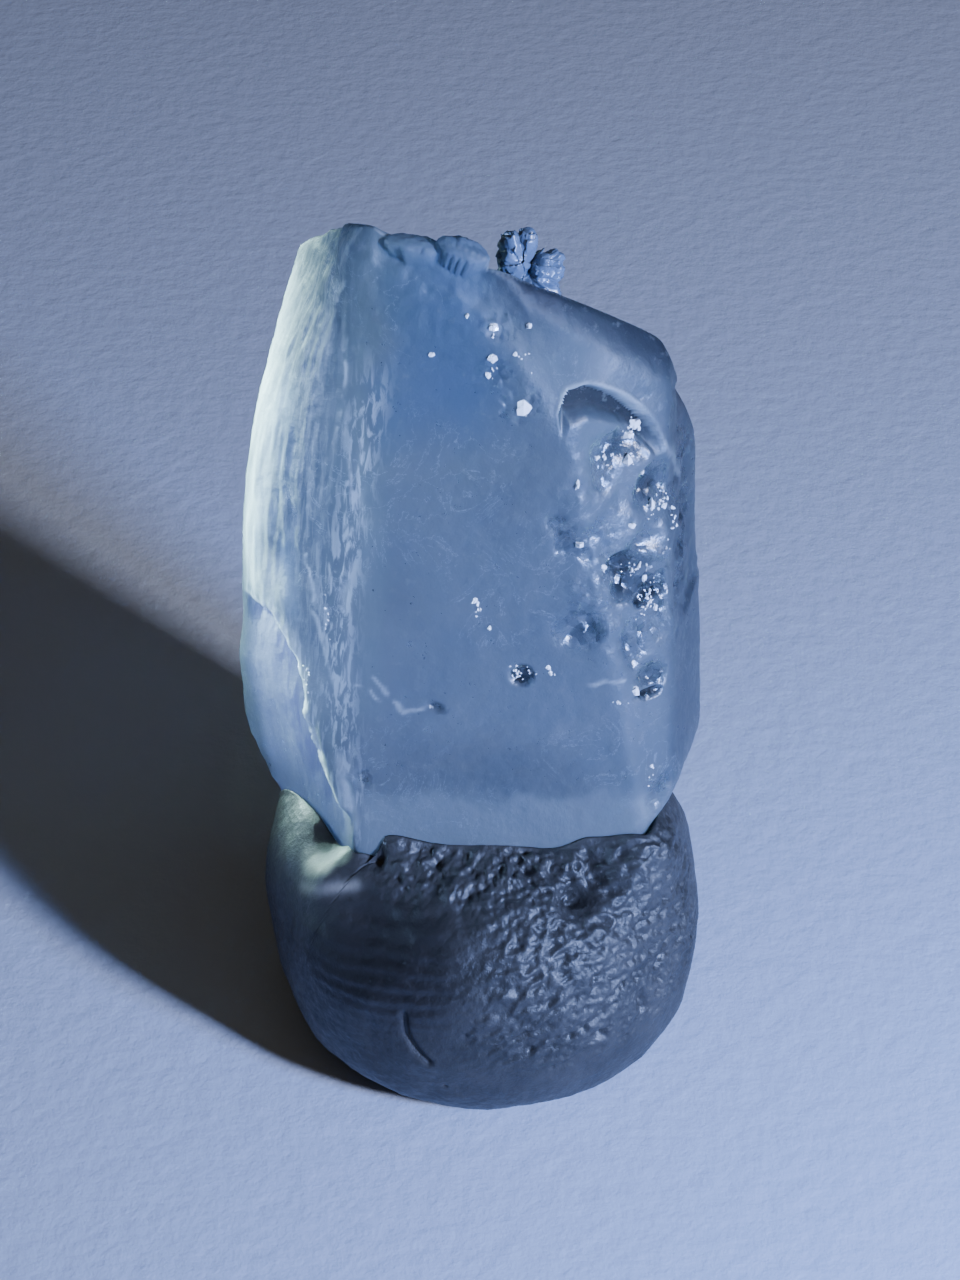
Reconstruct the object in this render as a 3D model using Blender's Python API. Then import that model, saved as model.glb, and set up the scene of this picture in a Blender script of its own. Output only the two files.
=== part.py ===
"""Aquamarine crystal held upright by a lump of mounting putty.

Frame: metres, +Z up, the crystal's broad front face towards -Y, +X to the right of it.
The origin is the middle of the putty's flat underside, which rests on the table.

The crystal is a block cut by named faces, then worn along its edges, chipped, scored and
given the rough spur that grew on its top edge.  The putty is a kneaded puck with a socket
that follows the crystal's foot.
"""
import math

import bmesh
import bpy
from mathutils import Matrix, Vector, noise

MM = 0.001

# ---------------------------------------------------------------- driving dimensions (mm, degrees)

# The point inside the crystal that every face is measured from.
HEART = Vector((-0.2, 3.6, 18.0))

# name: (azimuth, tilt, distance).  Azimuth 0 looks out of the front, +90 out of the right side.
# Tilt is how far the face looks up.
CRYSTAL_FACES = {
    "front": (-3, 8, 4.7),
    "front_strip": (-18, 9.6, 5.56),
    "front_left": (-42, 7, 6.3),
    "left": (-80, 19, 8.04),
    "left_belly": (-58, 8, 6.85),
    "left_waist": (-88, 0, 8.12),
    "lower_left": (-58.6, -5.5, 7.42),
    "left_back": (-122, 2, 7.0),
    "back": (178, -11, 4.7),
    "right_back": (125, -5, 6.3),
    "right": (76, 6, 6.72),
    "lower_right": (84, -8, 8.5),
    "right_foot": (70, -28, 10.1),
    "right_brow": (116, 25, 7.50),
    "front_right": (34, 13, 6.1),
    "shoulder": (62, 38, 8.9),
    "top_back": (155, 45.5, 6.62),
    "top_left_corner": (-90, 30, 9.55),
    "top_left": (-90, 52, 12.30),
    "left_back_foot": (-105, -35, 11.6),
    "foot": (0, -88, 10.8),
}
BLOCK_SIZE = 60.0
EDGE_WEAR = 0.12

# Chips and scoops: (side, x, z, half width, half height, depth, turn).
# Side -1 is the front of the crystal, +1 its back.  Turn is clockwise seen from outside.
SCOOPS = {
    "ledge_bite": (-1, 4.05, 24.60, 1.75, 0.95, 0.45, 22),
    "upper_bite": (-1, 3.90, 22.60, 1.35, 1.30, 0.30, -10),
    "right_bite": (-1, 5.20, 20.90, 1.15, 1.90, 0.34, 8),
    "sharp_patch": (-1, 2.75, 20.60, 1.15, 1.05, 0.22, 20),
    "dark_bite": (-1, 4.55, 18.90, 1.30, 0.95, 0.45, 12),
    "ringed_bite": (-1, 2.95, 17.50, 0.90, 0.80, 0.16, 0),
    "lower_bite": (-1, 5.25, 16.60, 1.15, 1.35, 0.26, -12),
    "dark_pit": (-1, 4.35, 19.15, 0.55, 0.42, 0.70, 20),
    "lower_pit": (-1, 4.85, 18.20, 0.42, 0.50, 0.55, 0),
    "ringed_pit": (-1, 2.75, 17.50, 0.42, 0.42, 0.24, 0),
    "green_pit": (-1, 5.35, 20.00, 0.42, 0.42, 0.45, 0),
    "right_dash": (-1, 5.20, 14.95, 0.55, 0.17, 0.30, 3),
    "right_foot_chip": (-1, 5.55, 11.60, 0.70, 0.95, 0.16, 0),
    "bright_trough": (-1, 0.85, 26.40, 0.75, 1.80, 0.20, 6),
    "upper_trough": (-1, -2.20, 26.40, 1.10, 2.20, 0.14, 4),
    "rim_undercut": (-1, -6.70, 13.20, 0.75, 2.10, 0.34, -24),
    "front_pit": (-1, 1.10, 15.90, 0.42, 0.36, 0.24, 0),
    "foot_pit": (-1, -3.95, 11.90, 0.40, 0.36, 0.12, 20),
    "middle_pit": (-1, -1.65, 14.70, 0.20, 0.18, 0.12, 0),
    "left_loop": (-1, -6.95, 17.40, 0.40, 0.75, 0.16, 12),
    "rim_chip": (-1, -6.35, 14.20, 0.50, 1.05, 0.30, -25),
    "lower_rim_chip": (-1, -5.60, 12.30, 0.45, 1.10, 0.26, -20),
    "back_scoop": (1, 1.8, 19.0, 2.7, 3.4, 0.60, -15),
    "back_chip": (1, -3.6, 24.0, 1.7, 1.3, 0.50, 20),
    "back_low_chip": (1, -2.4, 14.2, 1.5, 1.2, 0.45, 0),
}
SCOOP_FACETS = 3

# Growth grooves that fan up a face: (count, (x first, x last, z) low, (x first, x last, z) high).
GROOVE_FANS = {
    "front_left": (6, (-6.35, -4.80, 14.6), (-5.25, -4.62, 24.8)),
    "left": (4, (-7.75, -7.05, 18.2), (-6.65, -5.75, 24.8)),
    "front_strip": (2, (-4.20, -3.75, 20.0), (-4.15, -3.70, 26.5)),
}
GROOVE_RADIUS = 0.38
GROOVE_DEPTH = 0.15
GROOVE_STAGGER = 1.3

# What grew on the top edge, fused to the crystal: (x, y, z, half length x, y, z, turn).
SPUR_LUMPS = {
    "spur_foot": (1.20, 1.20, 28.68, 1.20, 0.95, 1.10, 12),
    "spur_left": (0.80, 1.25, 29.72, 0.62, 0.62, 0.90, -12),
    "spur_right": (1.75, 1.20, 29.20, 0.62, 0.62, 0.66, 15),
    "spur_tip": (1.15, 1.30, 30.20, 0.42, 0.48, 0.50, 20),
    "edge_lump": (-0.80, 0.95, 30.20, 0.80, 0.60, 0.50, 24),
    "edge_crumb": (-2.30, 1.00, 30.55, 0.90, 0.50, 0.36, 22),
}
SPUR_ROUGHNESS = 0.30

# The putty's puck: half sizes, the height of its middle and how square its outline is.
PUTTY_HALF = Vector((7.2, 6.9, 5.25))
PUTTY_MIDDLE = 4.2
PUTTY_SQUARENESS = 2.6
PUTTY_FACETS = 4

# Kneaded bulges and presses: (azimuth, elevation, spread, height).
PUTTY_LUMPS = {
    "back_wall": (178, 30, 48, 1.50),
    "back_foot": (180, -28, 38, 1.10),
    "left_wall": (-118, 30, 30, 0.95),
    "right_lip": (92, 42, 16, 0.90),
    "corner_lip": (64, 44, 13, 1.60),
    "front_lip": (10, 66, 18, 0.15),
    "left_lip": (-62, 54, 12, 0.75),
    "front_brow": (20, 34, 20, 0.15),
    "thumb_press": (-40, 34, 17, -0.40),
    "left_cleft": (-57, 48, 4, -0.55),
    "left_hollow": (-78, 42, 6, -0.50),
    "left_fold": (-64, 34, 6, 0.28),
    "crumb_column": (54, 56, 4, 0.30),
    "torn_hole": (36, 41, 4.5, -0.75),
    "torn_gap": (47, 45, 5, -0.45),
    "low_right": (48, -12, 24, 0.15),
}
PUTTY_UNEVEN = 0.16
PUTTY_UNEVEN_SIZE = 1.7

# Torn crumbs of putty along the crystal's foot: (x, y, z, half size x, y, z).
PUTTY_CRUMBS = {
    "column": (2.75, -2.95, 9.15, 0.50, 0.60, 1.00),
    "torn_lip_left": (-2.40, -2.70, 9.20, 1.20, 0.60, 0.50),
    "torn_lip_middle": (-0.60, -2.80, 9.15, 1.20, 0.60, 0.48),
    "torn_lip_right": (1.00, -2.85, 9.15, 1.00, 0.60, 0.50),
}
CRUMB_ROUGHNESS = 0.40

# Room between the crystal and its socket in the putty.
SOCKET_GAP = 0.3

SMOOTH_ANGLE = 32.0


# ---------------------------------------------------------------------------------- small helpers

def clear_scene():
    for thing in list(bpy.data.objects):
        bpy.data.objects.remove(thing, do_unlink=True)


def make_material(name, colour, roughness, transmission=0.0, ior=1.5):
    """A Principled material of one colour and finish."""
    material = bpy.data.materials.new(name)
    material.use_nodes = True
    shader = material.node_tree.nodes["Principled BSDF"]
    shader.inputs["Base Color"].default_value = (*colour, 1.0)
    shader.inputs["Roughness"].default_value = roughness
    shader.inputs["Metallic"].default_value = 0.0
    shader.inputs["Transmission Weight"].default_value = transmission
    shader.inputs["IOR"].default_value = ior
    return material


def outward(azimuth, tilt):
    """The unit vector that looks out at an azimuth (0 is -Y, 90 is +X) and a tilt above level."""
    a = math.radians(azimuth)
    t = math.radians(tilt)
    return Vector((math.cos(t) * math.sin(a), -math.cos(t) * math.cos(a), math.sin(t)))


def add_object(name, bm, collection, material=None):
    """Turn a bmesh in millimetres into an object in metres."""
    bmesh.ops.recalc_face_normals(bm, faces=bm.faces)
    bmesh.ops.scale(bm, vec=(MM, MM, MM), verts=bm.verts)
    mesh = bpy.data.meshes.new(name)
    bm.to_mesh(mesh)
    bm.free()
    thing = bpy.data.objects.new(name, mesh)
    collection.objects.link(thing)
    if material:
        mesh.materials.append(material)
    return thing


def add_tool(name, bm, collection):
    """A shape that only cuts or adds to another one."""
    tool = add_object(name, bm, collection)
    tool.hide_render = True
    tool.display_type = 'WIRE'
    return tool


def cut_flat(bm, point, normal):
    """Cut a closed shape with a plane, drop what is beyond it and close the cut."""
    cut = bmesh.ops.bisect_plane(
        bm,
        geom=[*bm.verts, *bm.edges, *bm.faces],
        plane_co=point,
        plane_no=normal,
        clear_outer=True,
    )
    rim = [part for part in cut["geom_cut"] if isinstance(part, bmesh.types.BMEdge)]
    bmesh.ops.contextual_create(bm, geom=rim)


def tool_collection(name):
    collection = bpy.data.collections.new(name)
    bpy.context.scene.collection.children.link(collection)
    return collection


def add_boolean(thing, name, operation, collection):
    modifier = thing.modifiers.new(name, 'BOOLEAN')
    modifier.operation = operation
    modifier.operand_type = 'COLLECTION'
    modifier.collection = collection
    modifier.solver = 'EXACT'


def smooth_round_parts(thing):
    """Shade small angles smooth and keep the real edges sharp."""
    thing.data.shade_smooth()
    thing.data.set_sharp_from_angle(angle=math.radians(SMOOTH_ANGLE))


def rough_lump(centre, half_sizes, turn, facets, roughness):
    """A ball stretched to its half sizes, its surface broken up by noise, turned about Y."""
    bm = bmesh.new()
    bmesh.ops.create_icosphere(bm, subdivisions=facets, radius=1.0)
    for vert in bm.verts:
        swell = noise.noise(vert.co * 2.3 + centre)
        vert.co *= 1.0 + roughness * swell
    place = Matrix.Translation(centre) @ Matrix.Rotation(math.radians(turn), 4, 'Y')
    place = place @ Matrix.Diagonal((*half_sizes, 1.0))
    bmesh.ops.transform(bm, matrix=place, verts=bm.verts)
    return bm


# ---------------------------------------------------------------------------------------- crystal

def faceted_block(grow=0.0):
    """A block cut by every named face, each moved out by grow."""
    bm = bmesh.new()
    bmesh.ops.create_cube(bm, size=BLOCK_SIZE)
    bmesh.ops.translate(bm, vec=HEART, verts=bm.verts)
    for azimuth, tilt, distance in CRYSTAL_FACES.values():
        normal = outward(azimuth, tilt)
        cut_flat(bm, HEART + normal * (distance + grow), normal)
    return bm


def wear_edges(bm):
    """Take a narrow flat off every edge of a block with no hollows."""
    bmesh.ops.recalc_face_normals(bm, faces=bm.faces)
    flats = []
    for edge in bm.edges:
        one, other = (face.normal for face in edge.link_faces)
        normal = (one + other).normalized()
        middle = (edge.verts[0].co + edge.verts[1].co) / 2
        flats.append((middle - normal * EDGE_WEAR * one.angle(other), normal))
    for point, normal in flats:
        cut_flat(bm, point, normal)


def skin_point(side, x, z):
    """Where a line along Y meets the block from the given side, and the face's normal there."""
    best = None
    for azimuth, tilt, distance in CRYSTAL_FACES.values():
        normal = outward(azimuth, tilt)
        if normal.y * side <= 0.0:
            continue
        reach = distance - normal.x * (x - HEART.x) - normal.z * (z - HEART.z)
        y = HEART.y + reach / normal.y
        if best is None or (best[0].y - y) * side > 0.0:
            best = (Vector((x, y, z)), normal)
    return best


def face_axes(normal, turn):
    """Two directions in the face, the second one up it, turned clockwise seen from outside."""
    across = Vector((0, 0, 1)).cross(normal).normalized()
    up = normal.cross(across)
    angle = math.radians(turn)
    return (
        across * math.cos(angle) - up * math.sin(angle),
        across * math.sin(angle) + up * math.cos(angle),
    )


def scoop_cutter(side, x, z, half_width, half_height, depth, turn):
    """A flattened ball that bites the given opening and depth out of the face."""
    point, normal = skin_point(side, x, z)
    across, up = face_axes(normal, turn)
    bulge = 3.0 * depth
    spread = 1.0 / math.sqrt(1.0 - (1.0 - depth / bulge) ** 2)
    centre = point + normal * (bulge - depth)
    bm = bmesh.new()
    bmesh.ops.create_icosphere(bm, subdivisions=SCOOP_FACETS, radius=1.0)
    place = Matrix.Translation(centre) @ Matrix((
        across * half_width * spread,
        up * half_height * spread,
        normal * bulge,
    )).transposed().to_4x4()
    bmesh.ops.transform(bm, matrix=place, verts=bm.verts)
    return bm


def groove_cutter(low, high):
    """A thin tapered bar that scores the face from one point of it to another."""
    (foot, normal), (head, _) = low, high
    sunk = normal * (GROOVE_RADIUS - GROOVE_DEPTH)
    axis = head - foot
    bm = bmesh.new()
    bmesh.ops.create_cone(
        bm,
        cap_ends=True,
        segments=8,
        radius1=GROOVE_RADIUS,
        radius2=GROOVE_RADIUS * 0.75,
        depth=axis.length,
    )
    place = Matrix.Translation((foot + head) / 2 + sunk)
    place = place @ axis.to_track_quat('Z', 'Y').to_matrix().to_4x4()
    bmesh.ops.transform(bm, matrix=place, verts=bm.verts)
    return bm


def make_crystal(material):
    bm = faceted_block()
    wear_edges(bm)
    crystal = add_object("aquamarine_crystal", bm, bpy.context.scene.collection, material)

    growths = tool_collection("crystal_growths")
    for name, (x, y, z, half_x, half_y, half_z, turn) in SPUR_LUMPS.items():
        bm = rough_lump(Vector((x, y, z)), (half_x, half_y, half_z), turn, 2, SPUR_ROUGHNESS)
        add_tool(name, bm, growths)
    add_boolean(crystal, "growths", 'UNION', growths)

    chips = tool_collection("crystal_chips")
    for name, scoop in SCOOPS.items():
        add_tool(name, scoop_cutter(*scoop), chips)
    for name, (count, low, high) in GROOVE_FANS.items():
        for index in range(count):
            share = index / (count - 1)
            stagger = GROOVE_STAGGER * math.sin(2.4 * index)
            foot = skin_point(-1, low[0] + share * (low[1] - low[0]), low[2] + stagger)
            head = skin_point(-1, high[0] + share * (high[1] - high[0]), high[2] - stagger)
            add_tool(f"groove_{name}_{index}", groove_cutter(foot, head), chips)
    add_boolean(crystal, "chips_and_grooves", 'DIFFERENCE', chips)
    return crystal


# ------------------------------------------------------------------------------------------ putty

def putty_radius(direction):
    """Distance from the puck's middle to its skin: a squared-off ellipsoid with lumps on it."""
    level = math.hypot(direction.x / PUTTY_HALF.x, direction.y / PUTTY_HALF.y)
    height = abs(direction.z) / PUTTY_HALF.z
    radius = (level ** PUTTY_SQUARENESS + height ** PUTTY_SQUARENESS) ** (-1 / PUTTY_SQUARENESS)
    for azimuth, elevation, spread, lump in PUTTY_LUMPS.values():
        angle = math.degrees(direction.angle(outward(azimuth, elevation)))
        radius += lump * math.exp(-(angle / spread) ** 2)
    return radius + PUTTY_UNEVEN * noise.noise(direction * radius / PUTTY_UNEVEN_SIZE)


def make_putty(material):
    middle = Vector((0, 0, PUTTY_MIDDLE))
    bm = bmesh.new()
    bmesh.ops.create_icosphere(bm, subdivisions=PUTTY_FACETS, radius=1.0)
    for vert in bm.verts:
        direction = vert.co.normalized()
        vert.co = middle + direction * putty_radius(direction)
    cut_flat(bm, Vector((0, 0, 0)), Vector((0, 0, -1)))
    putty = add_object("putty_base", bm, bpy.context.scene.collection, material)
    smooth_round_parts(putty)

    crumbs = tool_collection("putty_crumbs")
    for name, (x, y, z, half_x, half_y, half_z) in PUTTY_CRUMBS.items():
        bm = rough_lump(Vector((x, y, z)), (half_x, half_y, half_z), 0, 2, CRUMB_ROUGHNESS)
        add_tool(name, bm, crumbs)
    add_boolean(putty, "torn_crumbs", 'UNION', crumbs)

    socket = tool_collection("putty_socket")
    add_tool("crystal_socket", faceted_block(SOCKET_GAP), socket)
    add_boolean(putty, "socket", 'DIFFERENCE', socket)
    return putty


def main():
    clear_scene()
    beryl = make_material("aquamarine", (0.42, 0.60, 0.72), 0.30, transmission=0.9, ior=1.577)
    tack = make_material("mounting_putty", (0.055, 0.075, 0.125), 0.62)
    make_crystal(beryl)
    make_putty(tack)


main()
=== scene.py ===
import math
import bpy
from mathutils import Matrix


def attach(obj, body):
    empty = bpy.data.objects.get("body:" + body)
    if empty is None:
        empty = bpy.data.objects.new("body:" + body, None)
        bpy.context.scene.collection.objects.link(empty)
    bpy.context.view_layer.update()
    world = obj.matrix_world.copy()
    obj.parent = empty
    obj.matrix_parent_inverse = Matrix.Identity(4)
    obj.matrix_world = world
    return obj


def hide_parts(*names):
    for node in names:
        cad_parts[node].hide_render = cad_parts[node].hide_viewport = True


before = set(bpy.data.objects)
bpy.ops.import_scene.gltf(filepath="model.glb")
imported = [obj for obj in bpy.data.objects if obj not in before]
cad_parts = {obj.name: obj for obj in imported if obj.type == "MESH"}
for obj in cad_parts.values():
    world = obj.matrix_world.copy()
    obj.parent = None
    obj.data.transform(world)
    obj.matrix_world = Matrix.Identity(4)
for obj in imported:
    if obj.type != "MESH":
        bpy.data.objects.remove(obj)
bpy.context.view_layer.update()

from types import SimpleNamespace

import bpy
import numpy as np
from mathutils import Matrix

# Aquamarine crystal pressed into a lump of mounting putty.  Lengths below are in millimetres
# and angles in degrees, in the frame's own axes, until a mesh, a lamp or the camera is placed
# in metres.

MM = 0.001
SEED = 7

# ------------------------------------------------------------------ the crystal's driving sizes

HEART = np.array((-0.2, 3.6, 18.0))

# name: (azimuth, tilt, distance from the heart).  Azimuth 0 looks out of the front (-Y).
CRYSTAL_FACES = {
    "front": (-3, 8, 4.7),
    "front_strip": (-18, 9.6, 5.56),
    "front_left": (-42, 7, 6.3),
    "left": (-80, 19, 8.04),
    "left_belly": (-58, 8, 6.85),
    "left_waist": (-88, 0, 8.12),
    "lower_left": (-58.6, -5.5, 7.42),
    "left_back": (-122, 2, 7.0),
    "back": (178, -11, 4.7),
    "right_back": (125, -5, 6.3),
    "right": (76, 6, 6.72),
    "lower_right": (84, -8, 8.5),
    "right_foot": (70, -28, 10.1),
    "right_brow": (116, 25, 7.50),
    "front_right": (34, 13, 6.1),
    "shoulder": (62, 38, 8.9),
    "top_back": (155, 45.5, 6.72),
    "top_left_corner": (-90, 30, 9.95),
    "top_left": (-90, 52, 12.62),
    "left_back_foot": (-105, -35, 11.6),
    "foot": (0, -88, 10.8),
}
FACE_NAMES = list(CRYSTAL_FACES)

# Widths over which edges are worn round, the last one round the scoops.
EDGE_WEAR = 0.11
SHOULDER_WEAR = 0.55
CROWN_WEAR = 0.12
LEFT_WEAR = 0.30
SCOOP_WEAR = 0.06

# Depths and heights of the skin's larger forms, and the width over which one face's finish
# gives way to the next.
RECESS_DEPTH = 0.40
LIP_HEIGHT = 0.08
UNDERCUT_DEPTH = 0.42
RIM_HEIGHT = 0.08
STEP_DEPTH = 0.14
STRIPE_HEIGHT = 0.035
FACE_BLEND = 0.22

# Stretches that draw a noise out along the crystal's length.
LONG_STRIPES = np.array((1, 1, 0.05))
SHORT_STRIPES = np.array((1, 1, 0.10))
LONG_PATCHES = np.array((1, 1, 0.30))
LONG_SCUFFS = np.array((1, 1, 0.35))

# The line inside the crystal that its skin is measured from, and its grid.
CORE_LOW = np.array((-0.4, 2.4, 10.6))
CORE_HIGH = np.array((-1.6, 3.7, 26.0))
CRYSTAL_COLUMNS = 345
CRYSTAL_ROWS = 286
FOOT_SHARE = 0.06
TOP_SHARE = 0.27
BACK_DENSITY = 0.42
BROKEN_DENSITY = 0.75

# Chips and scoops: (side, x, z, half width, half height, depth, turn).
SCOOPS = {
    "upper_bite": (-1, 3.90, 22.60, 1.45, 1.30, 0.14, -10),
    "right_bite": (-1, 5.20, 20.90, 1.15, 1.90, 0.34, 8),
    "sharp_patch": (-1, 2.75, 20.60, 1.15, 1.05, 0.22, 20),
    "dark_bite": (-1, 4.55, 18.90, 1.30, 0.95, 0.45, 12),
    "ringed_bite": (-1, 2.95, 17.50, 0.90, 0.80, 0.16, 0),
    "lower_bite": (-1, 5.25, 16.60, 1.15, 1.35, 0.26, -12),
    "dark_pit": (-1, 4.35, 19.15, 0.65, 0.42, 0.50, 20),
    "lower_pit": (-1, 4.85, 18.20, 0.42, 0.50, 0.36, 0),
    "ringed_pit": (-1, 2.75, 17.50, 0.42, 0.42, 0.16, 0),
    "green_pit": (-1, 5.35, 20.00, 0.48, 0.42, 0.22, 0),
    "right_dash": (-1, 5.20, 14.95, 0.55, 0.17, 0.30, 3),
    "right_foot_chip": (-1, 5.55, 11.60, 0.70, 0.95, 0.16, 0),
    "front_pit": (-1, 1.10, 15.90, 0.42, 0.36, 0.24, 0),
    "foot_pit": (-1, -3.95, 11.90, 0.40, 0.36, 0.12, 20),
    "middle_pit": (-1, -1.65, 14.70, 0.30, 0.14, 0.09, 20),
    "left_loop": (-1, -6.95, 17.40, 0.40, 0.75, 0.16, 12),
    "rim_chip": (-1, -6.35, 14.20, 0.50, 1.05, 0.30, -25),
    "lower_rim_chip": (-1, -5.60, 12.30, 0.45, 1.10, 0.26, -20),
    "back_scoop": (1, 1.8, 19.0, 2.7, 3.4, 0.60, -15),
    "back_chip": (1, -3.6, 24.0, 1.7, 1.3, 0.50, 20),
    "back_low_chip": (1, -2.4, 14.2, 1.5, 1.2, 0.45, 0),
}

# Places where bright crumbs cling: (x, z, half width, half height, how many).
SPARK_CLUSTERS = (
    (0.20, 27.55, 0.20, 0.30, 5), (0.15, 26.70, 0.22, 0.40, 8), (1.10, 26.80, 0.25, 0.60, 6),
    (1.06, 25.15, 0.18, 0.16, 8), (4.40, 23.50, 0.30, 0.30, 22), (4.10, 22.90, 0.50, 0.35, 14),
    (5.40, 20.90, 0.40, 0.25, 20), (5.80, 20.00, 0.15, 0.50, 8), (3.60, 19.60, 0.15, 0.12, 6),
    (4.60, 19.00, 0.40, 0.25, 14), (5.10, 17.90, 0.35, 0.50, 20), (-0.30, 18.30, 0.10, 0.35, 6),
    (1.00, 16.05, 0.35, 0.30, 14), (2.00, 16.10, 0.25, 0.14, 4), (4.30, 15.00, 0.25, 0.14, 5),
    (5.30, 12.30, 0.08, 0.60, 6), (-5.10, 17.60, 0.10, 0.60, 8), (-5.80, 15.00, 0.15, 1.20, 10),
)
CRUMB_RADIUS = (0.025, 0.075)
CRUMBS_REACH_BACK = 3.0

# Single brighter grains: (x, z, radius), all enlarged alike.
GLINT_SCALE = 1.35
GLINTS = (
    (4.49, 23.67, 0.17), (4.37, 23.40, 0.14), (4.62, 23.52, 0.11), (4.32, 22.76, 0.13), (3.34, 23.09, 0.08),
    (3.56, 23.00, 0.08), (2.73, 22.62, 0.10), (4.81, 22.10, 0.09), (5.13, 21.02, 0.11), (5.52, 20.74, 0.09),
    (5.79, 20.44, 0.07), (6.00, 19.47, 0.08), (4.46, 20.68, 0.09), (2.85, 20.50, 0.11), (3.62, 19.56, 0.12),
    (4.08, 18.81, 0.07), (-0.63, 28.05, 0.08), (0.18, 27.66, 0.12), (1.22, 27.63, 0.08), (0.15, 26.72, 0.12),
    (0.00, 26.16, 0.08), (0.84, 26.87, 0.07), (1.06, 25.15, 0.15), (-1.68, 26.76, 0.07), (-0.40, 18.59, 0.07),
    (0.07, 17.61, 0.09), (1.91, 16.23, 0.07), (4.73, 15.17, 0.10), (4.95, 18.61, 0.08), (5.30, 17.64, 0.08),
)

# Lines on the crystal's front, as (x, z) corners from left to right or from the top down.
LEDGE_LINE = ((2.30, 25.05), (2.55, 25.60), (3.05, 25.65), (3.50, 25.45), (4.10, 25.00),
              (4.60, 24.50), (5.10, 23.85), (5.75, 22.40), (6.25, 20.60))
RIM_LINE = ((-8.30, 15.80), (-7.30, 16.10), (-6.55, 15.10), (-6.25, 13.80), (-5.90, 12.40),
            (-5.40, 11.30), (-4.65, 10.20))
GLOW_LINE = ((-6.30, 26.60), (-6.75, 24.70), (-7.10, 23.00), (-7.50, 21.10), (-7.80, 19.40),
             (-7.95, 17.80), (-7.85, 16.60), (-7.20, 16.30), (-6.60, 15.60), (-6.45, 14.20))
GLOW_PATCHES = ((-7.25, 21.60, 0.34, 1.50), (-7.20, 24.40, 0.22, 0.90), (-7.55, 19.60, 0.30, 1.00),
                (-7.15, 17.60, 0.42, 0.70), (-7.60, 16.90, 0.40, 0.40))
RIDGE_LINE = ((-3.05, 29.80), (-3.70, 25.30), (-4.30, 21.50), (-4.60, 19.80), (-4.95, 18.20),
              (-5.05, 16.70), (-4.95, 14.60), (-4.65, 11.80), (-4.50, 9.80))
SHOULDER_LINE = ((-2.2, 30.6), (-0.3, 29.4), (1.6, 27.4), (2.6, 26.2))
CRACK_LINES = (
    ((-4.60, 26.20), (-4.55, 23.50), (-4.35, 21.60), (-4.55, 20.40)),
    ((-4.55, 21.20), (-4.35, 21.70), (-4.10, 21.90)),
    ((-5.90, 19.10), (-5.75, 17.40), (-5.40, 15.90), (-5.05, 14.90)),
    ((-5.00, 19.30), (-4.95, 17.60)),
    ((-4.45, 15.30), (-3.90, 15.10), (-3.40, 14.50)),
    ((-3.80, 15.60), (-3.20, 15.00), (-2.70, 14.45)),
    ((-3.00, 14.90), (-2.60, 14.40), (-2.10, 14.55)),
    ((2.60, 15.95), (3.30, 15.70), (3.80, 15.85), (4.40, 15.65)),
)

# What grew on the top edge: (x, y, z, half length x, y, z, turn).
EDGE_LUMPS = {
    "edge_lump": (-0.75, 1.00, 29.95, 0.85, 0.60, 0.36, 24),
    "edge_crumb": (-2.10, 1.10, 30.10, 1.00, 0.50, 0.20, 12),
}
SPUR_LUMPS = {
    "spur_foot": (1.25, 2.00, 28.10, 1.00, 0.80, 0.95, 12),
    "spur_left": (0.80, 1.85, 29.20, 0.50, 0.50, 0.95, -12),
    "spur_right": (1.75, 1.80, 28.80, 0.55, 0.55, 0.72, 15),
    "spur_tip": (1.15, 1.90, 29.75, 0.36, 0.40, 0.48, 20),
}
SPUR_MIDDLE = np.array((1.20, 1.90, 28.75))
SPUR_COLUMNS = 150
SPUR_ROWS = 110

# -------------------------------------------------------------------- the putty's driving sizes

PUTTY_HALF = np.array((7.2, 6.9, 5.25))
PUTTY_MIDDLE = 4.2
PUTTY_SQUARENESS = 2.6
PUTTY_COLUMNS = 420
PUTTY_ROWS = 190
SOCKET_ROWS = 40
SOCKET_GAP = 0.10
PUTTY_MEAN_RADIUS = 6.6

# Where a thumb was pressed in (azimuth, elevation), and its skin ridges.
THUMB_PLACE = (-33, 24)
RIDGE_PITCH = 0.45
RIDGE_HEIGHT = 0.055
RIDGE_TILT = 12.605
TORN_ROW_TILT = 26
SMEAR_FOLDS = (
    (((-78, 33), (-72, 31), (-66, 36)), 2.2),
    (((-70, 27), (-64, 30), (-55, 38)), 1.8),
)
SMEAR_SPOT = (-92, 36)

# Kneaded bulges and presses: (azimuth, elevation, spread, height).
PUTTY_LUMPS = {
    "back_wall": (178, 30, 48, 1.50),
    "back_foot": (180, -28, 38, 1.10),
    "left_wall": (-118, 30, 30, 0.95),
    "right_lip": (92, 42, 16, 0.90),
    "corner_lip": (64, 44, 13, 1.60),
    "front_lip": (10, 66, 18, 0.15),
    "left_lip": (-62, 54, 12, 0.75),
    "front_brow": (20, 34, 20, 0.15),
    "thumb_press": (-40, 34, 17, -0.40),
    "left_cleft": (-57, 48, 4, -0.55),
    "left_hollow": (-78, 42, 6, -0.50),
    "left_fold": (-64, 34, 6, 0.28),
    "crumb_column": (54, 56, 4, 0.30),
    "torn_hole": (36, 41, 4.5, -0.75),
    "torn_gap": (47, 45, 5, -0.45),
    "low_right": (48, -12, 24, 0.15),
}

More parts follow.
